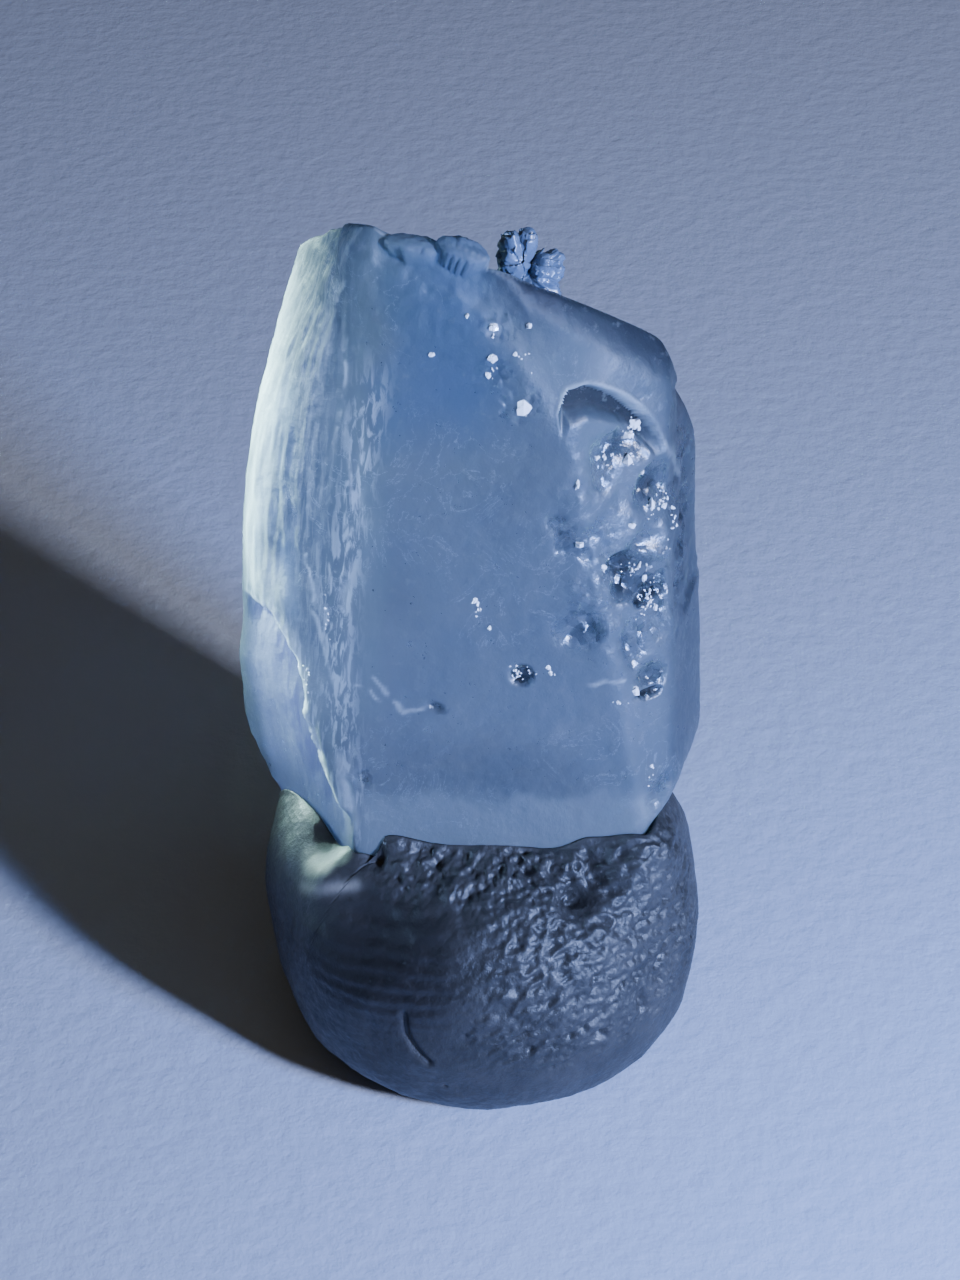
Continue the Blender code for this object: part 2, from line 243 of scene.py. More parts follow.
# Small pits pricked in the putty: (azimuth, elevation, radius, depth).
PUTTY_PITS = (
    (32.4, 1.1, 0.17, 0.16), (27.0, 5.7, 0.12, 0.10), (52.7, 4.0, 0.16, 0.12),
    (40.5, -4.1, 0.15, 0.12), (46.0, 20.0, 0.12, 0.10), (38.0, 14.0, 0.10, 0.09),
    (24.0, 12.0, 0.11, 0.09), (57.0, 14.0, 0.12, 0.09), (12.0, 2.0, 0.12, 0.10),
    (-6.0, 8.0, 0.10, 0.08), (18.0, -6.0, 0.10, 0.08), (-12.0, -14.0, 0.09, 0.07),
)
PUTTY_CREASE = ((-23.5, 11.0), (-22.5, 5.0), (-19.5, 0.5), (-16.0, -3.0))

# ------------------------------------------------------------------- the camera, floor and light

CAMERA_LENS = 85.0
CAMERA_NEAREST = 1.0
CAMERA_ELEVATION = 38.0
CAMERA_DISTANCE = 104.0
CAMERA_AIM = np.array((0.0, 0.0, 4.6))
CAMERA_RISE = 9.12
CAMERA_SIDE = -0.24
FLOOR_HALF = 600.0

ROOM_COLOUR = "#aba79f"
ROOM_STRENGTH = 0.07

# name: (azimuth, elevation, distance, width, watts, colour, height looked at, spread).
LAMPS = {
    "key": (47, 19, 72, 10, 0.155, "#74a2ff", 14, 180),
    "room_lamp": (50, 22, 300, 22, 1.25, "#d8dbf4", 14, 180),
    "top_fill": (-10, 72, 400, 350, 0.10, "#e6dccd", 14, 180),
    "left_rim": (-138, 10, 250, 6, 0.016, "#c4f6f2", 17, 4.6),
    "left_soft": (-92, 6, 250, 12, 0.0042, "#9fc2ff", 20, 5.0),
}


# ---------------------------------------------------------------------------------- number tools

def outward(azimuth, tilt):
    """Unit vector that looks out at an azimuth (0 is -Y, 90 is +X) and a tilt above level."""
    a = np.radians(azimuth)
    t = np.radians(tilt)
    return np.stack(np.broadcast_arrays(np.cos(t) * np.sin(a), -np.cos(t) * np.cos(a), np.sin(t)), -1)


def smoothstep(low, high, value):
    """0 before low, 1 past high, and 3s^2 - 2s^3 of the share s between them; low may be above high."""
    share = np.clip((value - low) / (high - low), 0.0, 1.0)
    return share * share * (3.0 - 2.0 * share)


def lattice(cell, seed):
    """A repeatable number from -1 to 1 for each whole lattice cell, from mixing its bits."""
    mixed = cell[..., 0] * 374761393 + cell[..., 1] * 668265263 + cell[..., 2] * 1274126177
    mixed = (mixed + (seed + SEED) * 974711) & 0xFFFFFFFF
    mixed = ((mixed ^ (mixed >> 13)) * 1103515245) & 0xFFFFFFFF
    mixed = ((mixed ^ (mixed >> 15)) * 12345677) & 0xFFFFFFFF
    return ((mixed ^ (mixed >> 16)) & 0xFFFF) / 32767.5 - 1.0


def noise(points, size, seed=0):
    """Value noise: lattice numbers size millimetres apart, blended by smooth shares on each axis."""
    scaled = points / size
    cell = np.floor(scaled).astype(np.int64)
    share = scaled - cell
    share = share * share * (3.0 - 2.0 * share)
    total = np.zeros(points.shape[:-1])
    for corner in np.ndindex(2, 2, 2):
        step = np.array(corner)
        weight = np.prod(np.where(step == 1, share, 1.0 - share), axis=-1)
        total += weight * lattice(cell + step, seed)
    return total


def fractal(points, size, seed=0, octaves=3):
    """Noise plus its finer copies, each at half the size and half the height."""
    return sum(noise(points, size / 2 ** k, seed + 31 * k) / 2 ** k for k in range(octaves))


def flakes(points, size, seed=0):
    """Shell-like scars, 0 to about 1 deep: the greatest of the bowls round seeds jittered in cells.

    A bowl is level + slope.a - a.a, where a is the way from its seed in cell sizes."""
    scaled = points / size
    cell = np.floor(scaled).astype(np.int64)
    deepest = np.full(points.shape[:-1], -9.0)
    for corner in np.ndindex(3, 3, 3):
        home = cell + np.array(corner) - 1
        jitter = np.stack([lattice(home, seed + k) for k in (1, 2, 3)], -1)
        slope = np.stack([lattice(home, seed + k) for k in (4, 5, 6)], -1)
        away = scaled - home - 0.5 - 0.4 * jitter
        bowl = 0.45 * lattice(home, seed + 7) + 0.7 * (slope * away).sum(-1) - (away * away).sum(-1)
        deepest = np.maximum(deepest, bowl)
    return np.clip(deepest + 0.45, 0.0, 1.2)


def chips(points, size, seed=0):
    """Broken facets, about -1 to 1: the plane slope.a tilted about whichever jittered seed is nearest."""
    scaled = points / size
    cell = np.floor(scaled).astype(np.int64)
    nearest = np.full(points.shape[:-1], 9.0)
    height = np.zeros(points.shape[:-1])
    for corner in np.ndindex(3, 3, 3):
        home = cell + np.array(corner) - 1
        jitter = np.stack([lattice(home, seed + k) for k in (1, 2, 3)], -1)
        slope = np.stack([lattice(home, seed + k) for k in (4, 5, 6)], -1)
        away = scaled - home - 0.5 - 0.4 * jitter
        gap = (away * away).sum(-1)
        height = np.where(gap < nearest, (slope * away).sum(-1), height)
        nearest = np.minimum(nearest, gap)
    return height


def near_path(place, path, width):
    """1 on a path of corners in a plane, falling as a bell with the distance to its nearest run."""
    nearest = np.full(place.shape[:-1], 1e6)
    for start, end in zip(path, path[1:]):
        run = np.subtract(end, start)
        share = np.clip((place - start) @ run / (run @ run), 0.0, 1.0)
        nearest = np.minimum(nearest, np.linalg.norm(place - start - share[..., None] * run, axis=-1))
    return np.exp(-(nearest / width) ** 2)


def below_path(place, path):
    """How far each (x, z) place lies under a path whose x grows from corner to corner."""
    corners = np.array(path)
    return np.interp(place[..., 0], corners[:, 0], corners[:, 1]) - place[..., 1]


def rotation(axis, degrees):
    """Matrix that turns about a unit axis: cos I + (1 - cos) aa' + sin [a]."""
    a = np.radians(degrees)
    x, y, z = axis
    cross = np.array(((0, -z, y), (z, 0, -x), (-y, x, 0)))
    return math.cos(a) * np.eye(3) + (1 - math.cos(a)) * np.outer(axis, axis) + math.sin(a) * cross


# --------------------------------------------------------------------------------- mesh writing

def grid_faces(rows, columns):
    """Faces of a closed skin whose first and last vertices are its poles, columns wrapping round."""
    index = 1 + np.arange((rows - 2) * columns).reshape(rows - 2, columns)
    after = np.roll(index, -1, axis=1)
    quads = np.stack([index[:-1], after[:-1], after[1:], index[1:]], -1).reshape(-1, 4)
    low = np.stack([np.zeros(columns, int), after[0], index[0]], -1)
    top = np.full(columns, (rows - 2) * columns + 1)
    high = np.stack([index[-1], after[-1], top], -1)
    return quads, np.concatenate([low, high])


def pole_rows(grid):
    """A grid's values in the order of the closed skin's vertices: one pole, the rings, one pole."""
    inner = grid[1:-1].reshape(-1, *grid.shape[2:])
    return np.concatenate([grid[0, :1], inner, grid[-1, :1]])


def closed_grid(name, points, attributes):
    """A closed skin from a grid of points, rows from the low pole to the high one, columns round.

    The first and last rows are single points.  Each attribute is a number per grid point."""
    quads, caps = grid_faces(*points.shape[:2])
    mesh = bpy.data.meshes.new(name)
    mesh.from_pydata((pole_rows(points) * MM).tolist(), [], quads.tolist() + caps.tolist())
    for label, values in attributes.items():
        layer = mesh.attributes.new(label, 'FLOAT', 'POINT')
        layer.data.foreach_set("value", np.clip(pole_rows(values), 0.0, 1.0).astype(np.float32))
    mesh.shade_smooth()
    piece = bpy.data.objects.new(name, mesh)
    bpy.context.scene.collection.objects.link(piece)
    return piece


def scattered_grains(name, places, radii, random):
    """Many small faceted grains in one mesh: a five-row ball with each corner moved by chance."""
    rows, columns = 5, 6
    lift = np.linspace(-90, 90, rows)[:, None]
    ball = pole_rows(outward(np.linspace(0, 360, columns, endpoint=False)[None, :], lift))
    wobble = random.uniform(0.55, 1.25, (len(places), len(ball), 1))
    stretch = random.uniform(0.6, 1.4, (len(places), 1, 3))
    corners = places[:, None] + ball * wobble * stretch * radii[:, None, None]
    quads, caps = grid_faces(rows, columns)
    shift = np.arange(len(places))[:, None, None] * len(ball)
    faces = (quads + shift).reshape(-1, 4).tolist() + (caps + shift).reshape(-1, 3).tolist()
    mesh = bpy.data.meshes.new(name)
    mesh.from_pydata((corners.reshape(-1, 3) * MM).tolist(), [], faces)
    piece = bpy.data.objects.new(name, mesh)
    bpy.context.scene.collection.objects.link(piece)
    return piece


# ------------------------------------------------------------------------------ crystal geometry

NORMALS = np.array([outward(azimuth, tilt) for azimuth, tilt, _ in CRYSTAL_FACES.values()])
DISTANCES = np.array([distance for _, _, distance in CRYSTAL_FACES.values()], float)


def face_reach(start, direction):
    """How far along each ray every face's plane lies: (distance - n.(start - heart)) / n.direction."""
    closing = direction @ NORMALS.T
    room = DISTANCES - (start - HEART) @ NORMALS.T
    return np.where(closing > 1e-4, room / np.maximum(closing, 1e-4), 1e3)


def soft_least(values, width):
    """The least of the last axis, its corners rounded: -width log(sum(exp(-value / width)))."""
    least = values.min(-1, keepdims=True)
    return least[..., 0] - width * np.log(np.exp(-(values - least) / width[..., None]).sum(-1))


def skin_point(side, x, z):
    """Where a line along Y meets the faceted block from that side, and the normal there."""
    facing = NORMALS[:, 1] * side > 0
    normals = NORMALS[facing]
    room = DISTANCES[facing] - normals[:, 0] * (x - HEART[0]) - normals[:, 2] * (z - HEART[2])
    y = HEART[1] + room / normals[:, 1]
    nearest = np.argmin(y * side)
    return np.array((x, y[nearest], z)), normals[nearest]


def scoop_frame(side, x, z, half_width, half_height, depth, turn):
    """Centre and axes of the flattened ball that bites one scoop out of the skin."""
    point, normal = skin_point(side, x, z)
    across = np.cross((0, 0, 1), normal)
    across /= np.linalg.norm(across)
    up = np.cross(normal, across)
    a = math.radians(turn)
    wide = across * math.cos(a) - up * math.sin(a)
    tall = across * math.sin(a) + up * math.cos(a)
    bulge = 3.0 * depth
    spread = 1.0 / math.sqrt(1.0 - (1.0 - depth / bulge) ** 2)
    axes = np.array((wide * half_width * spread, tall * half_height * spread, normal * bulge))
    return point + normal * (bulge - depth), axes.T


def ball_crossing(start, direction, centre, axes, side):
    """Distance along each ray to the near (side -1) or far (side 1) skin of a stretched ball.

    Where the ray misses the ball, the distance is large for the near skin and 0 for the far one."""
    back = np.linalg.inv(axes).T
    o = (start - centre) @ back
    d = direction @ back
    a = (d * d).sum(-1)
    b = (o * d).sum(-1)
    inside = b * b - a * ((o * o).sum(-1) - 1.0)
    crossing = (-b + side * np.sqrt(np.maximum(inside, 0.0))) / a
    missed = 1e3 if side < 0 else 0.0
    return np.where((inside > 0) & (crossing > 0), crossing, missed)


def lump_axes(half_x, half_y, half_z, turn):
    """Columns of a stretched ball's half axes, turned about Y."""
    return rotation((0, 1, 0), turn) @ np.diag((half_x, half_y, half_z))


def crystal_rays():
    """The grid of rays that the crystal's skin is found on.

    Down a column the start climbs the core line; past its ends the ray fans to the pole.
    Round a row the azimuths are spaced by the outline's arc length, denser on the broken front."""
    azimuth = np.linspace(-180, 180, 2401)
    around = outward(azimuth, 0)
    reach = face_reach(np.broadcast_to(HEART, around.shape), around).min(-1)
    outline = around * reach[:, None]
    step = np.linalg.norm(np.diff(outline, axis=0), axis=1)
    density = BACK_DENSITY + (1 - BACK_DENSITY) * smoothstep(-0.25, 0.35, -around[1:, 1])
    density = density + BROKEN_DENSITY * np.exp(-((azimuth[1:] - 50) / 26) ** 2)
    travelled = np.concatenate([[0.0], np.cumsum(step * density)])
    column_share = np.arange(CRYSTAL_COLUMNS) / CRYSTAL_COLUMNS
    turn = np.interp(column_share * travelled[-1], travelled, azimuth)
    row = np.linspace(0, 1, CRYSTAL_ROWS)
    climb = np.interp(row, (FOOT_SHARE, 1 - TOP_SHARE), (0, 1))
    lift = np.interp(row, (0, FOOT_SHARE, 1 - TOP_SHARE, 1), (-90, 0, 0, 90))
    start = CORE_LOW + climb[:, None, None] * (CORE_HIGH - CORE_LOW)
    start = np.broadcast_to(start, (CRYSTAL_ROWS, CRYSTAL_COLUMNS, 3))
    direction = outward(turn[None, :], lift[:, None])
    return start, direction


def skin_places(start, direction):
    """Where each ray meets the sharp block, and what the later steps ask about that place.

    A face's share of it is exp(-(the face's reach - the least) / FACE_BLEND), all summing to 1."""
    reaches = face_reach(start, direction)
    least = reaches.min(-1)
    flat = start + direction * least[..., None]
    share = np.exp(-(reaches - least[..., None]) / FACE_BLEND)
    share /= share.sum(-1, keepdims=True)
    place = flat[..., (0, 2)]
    front = smoothstep(3.4, 2.4, flat[..., 1])
    return SimpleNamespace(
        start=start, direction=direction, reaches=reaches, flat=flat, place=place,
        x=flat[..., 0], y=flat[..., 1], z=flat[..., 2],
        front=front,
        free=smoothstep(7.6, 8.8, flat[..., 2]),
        on=dict(zip(FACE_NAMES, np.moveaxis(share, -1, 0))),
        to_back=reaches[..., FACE_NAMES.index("top_back")] - least,
        shoulder_edge=near_path(place, SHOULDER_LINE, 1.3) * front,
    )


def worn_block(at):
    """Ray length to the planes with their edges worn round, plus the slow waves of grown faces."""
    crown = smoothstep(26.5, 29.5, at.z)
    rounded_left = smoothstep(-2.6, -4.4, at.x) * smoothstep(12.0, 15.0, at.z)
    rounded_left = rounded_left * smoothstep(29.8, 27.2, at.z)
    wear = EDGE_WEAR + SHOULDER_WEAR * at.shoulder_edge + CROWN_WEAR * crown + LEFT_WEAR * rounded_left
    reach = soft_least(at.reaches, wear) + 0.20 * LEFT_WEAR * rounded_left
    reach = reach + 0.12 * crown * fractal(at.flat, 0.9, 3)
    return reach + at.free * (0.09 * noise(at.flat, 4.5, 1) + 0.03 * fractal(at.flat, 1.4, 2))


def broken_corner(at):
    """The torn corner, which fades in from the left and is torn through to the right-hand edge.

    Returns the share that is torn, the share of it that is pitted, its small scars and its depth."""
    border = 1 - ((at.x - 5.0) / 3.5) ** 2 - ((at.z - 20.1) / 4.9) ** 2 + 0.45 * fractal(at.flat, 1.3, 20)
    torn = smoothstep(0.0, 0.60, border) * smoothstep(5.0, 3.4, at.y) * smoothstep(0.8, 2.4, at.x)
    pitted = torn * smoothstep(0.0, 0.7, fractal(at.flat, 1.6, 41))
    scars = flakes(at.flat, 0.75, 50)
    depth = torn * (0.30 * flakes(at.flat, 2.6, 40) + 0.08 * fractal(at.flat, 0.9, 42))
    depth = depth + pitted * (0.10 * scars + 0.10 * chips(at.flat, 0.60, 47))
    return torn, pitted, scars, depth


def ledge(at):
    """How far each place lies under the ledge's line, the hollow there, which is painted with shade, and the
    thin lip.
    """
    drop = below_path(at.place, LEDGE_LINE) + 0.05 * fractal(at.flat, 0.5, 24, 2)
    recess_painted_shade = smoothstep(0.0, 0.10, drop) * smoothstep(1.1, 0.5, drop) * at.front
    recess_painted_shade = recess_painted_shade * smoothstep(2.2, 2.7, at.x) * smoothstep(5.6, 5.0, at.x)
    lip = near_path(at.place, LEDGE_LINE, 0.075) * at.front * (0.25 + 0.75 * smoothstep(5.2, 4.7, at.x))
    return drop, recess_painted_shade, lip


def lower_rim(at):
    """The rim on the lower left: the skin under it, how far that is cut back, and the rim itself."""
    left_side = smoothstep(-4.4, -4.9, at.x) * at.front
    drop = below_path(at.place, RIM_LINE) + 0.10 * noise(at.flat, 0.9, 26)
    under = smoothstep(0.0, 0.3, drop) * left_side
    cut_back = smoothstep(0.0, 0.22, drop) * np.exp(-np.maximum(drop, 0) / 1.6) * left_side
    rim = near_path(at.place, RIM_LINE, 0.16) * left_side
    return under, cut_back, rim


def front_step(at):
    """The shallow, ragged step on the right of the soft strip."""
    ragged = 0.5 * fractal(at.flat, 1.6, 27)
    step = smoothstep(-3.7, -2.7, at.x + ragged) * smoothstep(1.4, -1.0, at.x + ragged)
    return step * smoothstep(22.6, 25.6, at.z + ragged) * at.front


def bright_column(at):
    """The dimpled column under the spur: exp(-(x share)^4 - (z share)^4), broken up by noise."""
    column = np.exp(-((at.x - 0.7) / 0.95) ** 4 - ((at.z - 26.4) / 2.3) ** 4) * at.front
    return column * smoothstep(-0.3, 0.4, fractal(at.flat, 0.9, 28))


def bite_scoops(at, reach, scars, bitten):
    """Every chip and scoop cut out of the skin, its outline pushed about by noise.

    Returns the ray lengths left, how freshly broken each place is and how deep in a pit it lies."""
    wander = np.stack([noise(at.flat, 0.9, seed) for seed in (71, 72, 73)], -1)
    pit = np.zeros(reach.shape)
    wear = np.full(reach.shape, SCOOP_WEAR)
    for scoop in SCOOPS.values():
        half_width, half_height, depth = scoop[3:6]
        size = min(half_width, half_height)
        shifted = at.start + wander * 0.28 * size
        entry = ball_crossing(shifted, at.direction, *scoop_frame(*scoop), -1)
        entry = entry + 0.30 * depth * (scars - 0.4)
        bitten = np.maximum(bitten, 0.7 * smoothstep(-0.02, 0.20, reach - entry))
        pit = np.maximum(pit, smoothstep(0.10, 0.45, (reach - entry) / max(size, 0.3)))
        reach = soft_least(np.stack([reach, entry], -1), wear)
    return reach, bitten, pit


def growth_stripes(at):
    """Stripes that run down the crystal, 0.34 mm apart with finer ones between."""
    return noise(at.flat * LONG_STRIPES, 0.34, 12) + 0.6 * noise(at.flat * SHORT_STRIPES, 0.17, 13)


def chafed_ridge(at):
    """The ridge between the front and the left faces, rubbed in patches below its upper end."""
    ridge = near_path(at.place, RIDGE_LINE, 0.30) * at.front
    rubbed = smoothstep(-0.3, 0.4, fractal(at.flat * LONG_SCUFFS, 0.8, 30))
    return ridge * rubbed * smoothstep(24.0, 21.0, at.z)


def edge_lumps(at, reach):
    """Ray lengths pushed out to the lumps on the top edge, and where those stand out."""
    rough = 0.08 * fractal(at.flat, 0.6, 35)
    broken = 0.06 * chips(at.flat, 0.35, 36)
    lumpy = np.zeros(reach.shape)
    for lump in EDGE_LUMPS.values():
        lump_exit = ball_crossing(at.start, at.direction, np.array(lump[:3]), lump_axes(*lump[3:]), 1)
        lumpy = np.maximum(lumpy, smoothstep(-0.05, 0.10, lump_exit - reach))
        reach = np.maximum(reach, lump_exit + rough + broken)
    return reach, lumpy


def thin_cracks(at):
    """The crack lines, led astray by up to about 0.3 mm and broken here and there."""
    astray = at.place + 0.16 * np.stack([fractal(at.flat, 0.7, 74), fractal(at.flat, 0.7, 75)], -1)
    cracks = np.maximum.reduce([near_path(astray, path, 0.06) for path in CRACK_LINES]) * at.front
    return cracks * smoothstep(-0.5, 0.3, fractal(at.flat, 0.5, 76))


def pale_bands(at):
    """The pale lip along the top edge of the front, painted light that stands for light scattered at that
    edge, and the pale band above the putty.
    """
    on_front = at.on["front"] + at.on["front_right"] + at.on["shoulder"] + at.on["front_strip"]
    top_lip = on_front * smoothstep(0.50, 0.10, at.to_back + 0.2 * noise(at.flat, 0.8, 37))
    top_lip = top_lip * smoothstep(2.9, 1.8, at.x) * smoothstep(-3.4, -2.6, at.x)
    low_band = on_front * smoothstep(11.7, 10.9, at.z + 0.5 * fractal(at.flat, 1.2, 39))
    return top_lip, low_band


def left_light(at, rim):
    """Where light comes through the left outline, how strongly its painted glow shows, and the fainter
    painted glow of the pale skin there.
    """
    patchy = smoothstep(-0.7, 0.5, fractal(at.flat * LONG_PATCHES, 0.9, 38))
    outline = near_path(at.place, GLOW_LINE, 0.30) * smoothstep(6.4, 5.7, at.y)
    patches = sum(np.exp(-((at.x - x) / half_x) ** 2 - ((at.z - z) / half_z) ** 2)
                  for x, z, half_x, half_z in GLOW_PATCHES) * at.front
    glow = np.maximum.reduce([0.85 * outline, patches, 0.9 * rim]) * (0.55 + 0.45 * patchy)
    milky_painted_glow = 0.6 * smoothstep(-6.0, -7.0, at.x) * smoothstep(27.5, 25.0, at.z) * smoothstep(15.5, 17.0, at.z)
    return np.minimum(outline + patches, 1), glow, milky_painted_glow * patchy * at.front


def crystal_skin():
    """Ray length to the worn planes, less every chip, step, scar and groove, plus fine unevenness.

    Returns the grid of points and the masks, 0 to 1, that the material reads."""
    at = skin_places(*crystal_rays())
    on = at.on
    torn, pitted, scars, torn_depth = broken_corner(at)
    drop, recess_painted_shade, lip = ledge(at)
    under, cut_back, rim = lower_rim(at)
    step = front_step(at)
    column = bright_column(at)
    dimples = 0.10 * flakes(at.flat, 0.8, 60) + 0.08 * chips(at.flat, 0.45, 63)
    reach = worn_block(at) - torn_depth
    reach = reach - RECESS_DEPTH * recess_painted_shade + LIP_HEIGHT * lip * (drop < 0)
    reach = reach - at.free * (UNDERCUT_DEPTH * cut_back - RIM_HEIGHT * rim)
    reach = reach - STEP_DEPTH * step - column * dimples
    reach, bitten, pit = bite_scoops(at, reach, scars, np.maximum(0.5 * pitted, 0.5 * column))

    striped = on["left"] + on["left_belly"] + on["front_left"] + 0.6 * on["front_strip"]
    # Along the lower rim this whitening is painted light: the bright edge where the lit left face meets the
    # shaded one.
    chafed = np.maximum(chafed_ridge(at), rim)
    etched = 0.010 * fractal(at.flat, 0.26, 5, 2) * (1 + 2 * bitten) + 0.012 * fractal(at.flat, 0.7, 6, 2)
    reach = reach + STRIPE_HEIGHT * growth_stripes(at) * striped * at.free
    reach = reach - at.free * chafed * (0.06 + 0.10 * flakes(at.flat, 0.42, 33))
    reach, lumpy = edge_lumps(at, reach + at.free * etched)

    top_lip, low_band = pale_bands(at)
    lit, glow, milky_painted_glow = left_light(at, rim)
    left_faces = on["left"] + on["left_belly"] + 0.5 * on["front_left"] + on["top_left_corner"]
    left_faces = left_faces + on["top_left"]
    ridge_band = near_path(at.place, RIDGE_LINE, 0.55) * at.front * smoothstep(27.5, 24.5, at.z)
    rim_band = near_path(at.place, RIM_LINE, 0.60) * at.front
    veins = noise(at.flat, 2.6, 81) + 0.5 * smoothstep(17, 13, at.z) + 0.4 * torn
    masks = {
        "fresh": bitten,
        # White frost of wear on the ridge, the cracks, the ledge's lip, the lumps and the low band; on the
        # top lip and along the lower rim it is painted light.
        "frost_and_painted_edge_light": np.maximum.reduce([
            chafed, lip * (drop < 0.1), 0.8 * thin_cracks(at), 0.12 * lumpy, 0.5 * top_lip, 0.25 * low_band]),
        # Painted light: the left outline is painted near white where the lamps' light comes through the
        # stone.
        "glow": glow,
        # Painted shade: the left faces where the glow does not reach, and the left back faces, are painted
        # dark to stand in for shade there.
        "left_painted_shade": np.maximum(left_faces * smoothstep(15.0, 16.5, at.z) * (1 - lit),
                           0.9 * (on["left_back"] + on["left_waist"])),
        # Painted light: a pale tint across the left face that paints a fainter glow of the light coming
        # through the stone.
        "milky_painted_glow": milky_painted_glow,
        "worn": np.maximum.reduce([0.9 * ridge_band, rim_band, 0.12 * striped]),
        # Painted shade: the shoulder and the right faces are painted nearly black, standing in for the shade
        # seen through the clear stone there, even where the key lamp falls on them.
        "painted_shade": on["shoulder"] + on["right_brow"] + 0.7 * (on["lower_right"] + on["right"]),
        "matte": np.maximum.reduce([on["shoulder"], at.shoulder_edge, recess_painted_shade, 0.7 * left_faces]),
        # Painted shade: the recess under the ledge and the pits are painted nearly black, as if shade fell in
        # them.
        "recess_painted_shade": np.maximum(recess_painted_shade, 0.8 * pit),
        # Painted shade: the lower-left face under the rim is painted lavender, the look of that face in shade
        # with the floor reflected in it.
        "under": under,
        "deep": step,
        "strip": on["front_strip"] * smoothstep(19.5, 21.5, at.z),
        "veined": 0.6 * smoothstep(0.1, 0.5, veins),
    }
    return at.start + at.direction * reach[..., None], masks


def spur_skin():
    """The union of a few stretched balls seen from their middle, broken up by scars and points."""
    turn = np.linspace(0, 360, SPUR_COLUMNS, endpoint=False)[None, :]
    direction = outward(turn, np.linspace(-90, 90, SPUR_ROWS)[:, None])
    start = np.broadcast_to(SPUR_MIDDLE, direction.shape)
    reach = np.full(direction.shape[:-1], 0.35)
    for lump in SPUR_LUMPS.values():
        axes = lump_axes(*lump[3:])
        reach = np.maximum(reach, ball_crossing(start, direction, np.array(lump[:3]), axes, 1))
    flat = start + direction * reach[..., None]
    reach = reach + 0.20 * chips(flat, 0.55, 90) + 0.12 * chips(flat, 0.28, 91)
    reach = reach - 0.16 * flakes(flat, 0.42, 92)
    return start + direction * reach[..., None]


# -------------------------------------------------------------------------------- putty geometry

def putty_radius(direction):
    """Distance from the puck's middle to its skin: a squared-off ellipsoid plus bell-shaped lumps."""
    level = np.hypot(direction[..., 0] / PUTTY_HALF[0], direction[..., 1] / PUTTY_HALF[1])
    height = np.abs(direction[..., 2]) / PUTTY_HALF[2]
    power = PUTTY_SQUARENESS
    radius = (level ** power + height ** power) ** (-1 / power)
    for azimuth, elevation, spread, lump in PUTTY_LUMPS.values():
        cosine = np.clip(direction @ outward(azimuth, elevation), -1, 1)
        radius = radius + lump * np.exp(-(np.degrees(np.arccos(cosine)) / spread) ** 2)
    return radius


def putty_turns():
    """Azimuths of the putty's columns, twice as close together at the front as at the back."""
    azimuth = np.linspace(-180, 180, 1441)
    density = 1.5 + np.cos(np.radians(azimuth))
    travelled = np.cumsum(density) - density[0]
    share = np.arange(PUTTY_COLUMNS) / PUTTY_COLUMNS
    return np.interp(share * travelled[-1], travelled, azimuth)


def rim_lift(turn):
    """Elevation, per azimuth, at which the puck's skin meets the crystal's wall, by halving."""
    middle = np.array((0.0, 0.0, PUTTY_MIDDLE))
    level = outward(turn, 0)
    low = np.full(turn.shape, 10.0)
    high = np.full(turn.shape, 88.0)
    for _ in range(24):
        lift = (low + high) / 2
        direction = outward(turn, lift)
        point = middle + direction * putty_radius(direction)[:, None]
        axis_point = point * np.array((0, 0, 1.0))
        wall = face_reach(axis_point, level).min(-1)
        outside = np.hypot(point[:, 0], point[:, 1]) > wall
        low = np.where(outside, lift, low)
        high = np.where(outside, high, lift)
    return low


def thumb_patch(turn, lift, half_turn, half_lift):
    """1 where the thumb pressed, falling off past the half sizes: exp(-share^4 - share^4)."""
    return np.exp(-((turn - THUMB_PLACE[0]) / half_turn) ** 4 - ((lift - THUMB_PLACE[1]) / half_lift) ** 4)


def torn_patch(turn, lift):
    """1 on the right and upper part of the putty, where its skin is torn."""
    return smoothstep(-18, 14, turn) * smoothstep(-12, 4, lift)


def putty_relief(points, turn, lift):
    """What hands, tools and tearing left on the putty, as a height over its kneaded form."""
    x, y, z = np.moveaxis(points, -1, 0)
    height = 0.10 * fractal(points, 1.9, 20)

    # Skin ridges of a thumb, as sine waves that rise to the right and break into beads.
    a = math.radians(RIDGE_TILT)
    along = z * math.cos(a) - x * math.sin(a) + 0.10 * noise(points, 1.6, 41)
    beads = 0.65 + 0.35 * noise(points * np.array((1, 1, 0.2)), 0.30, 42)
    ridges = np.sin(2 * np.pi * along / RIDGE_PITCH) * beads
    height = height + RIDGE_HEIGHT * ridges * thumb_patch(turn, lift, 21, 17)

    # Torn grain on the right, drawn out along rows that climb to the right.
    a = math.radians(TORN_ROW_TILT)
    grain = np.stack([x * math.cos(a) + z * math.sin(a), y, z * math.cos(a) - x * math.sin(a)], -1)
    crests = 1 - np.abs(fractal(grain * np.array((0.45, 0.9, 1.0)), 0.34, 44))
    facing = smoothstep(95, 70, np.abs(turn))
    height = height + 0.20 * (crests - 0.75) * torn_patch(turn, lift) * facing

    # Crumbly lip where it was torn off against the crystal.
    crumbly = smoothstep(-62, -48, turn) * smoothstep(78, 60, turn) * smoothstep(34, 50, lift)
    height = height + crumbly * (0.16 * fractal(points, 0.42, 46) - 0.12 * flakes(points, 0.7, 47))
    height = height + 0.012 * fractal(points, 0.24, 48, 2)

    squeeze = np.stack([turn * np.cos(np.radians(lift)), lift], -1)
    for azimuth, elevation, radius, depth in PUTTY_PITS:
        centre = np.array((azimuth * math.cos(math.radians(elevation)), elevation))
        gap = np.radians(np.linalg.norm(squeeze - centre, axis=-1)) * PUTTY_MEAN_RADIUS
        height = height - depth * np.exp(-(gap / radius) ** 4)
    return height - 0.16 * near_path(np.stack([turn, lift], -1), PUTTY_CREASE, 1.1)


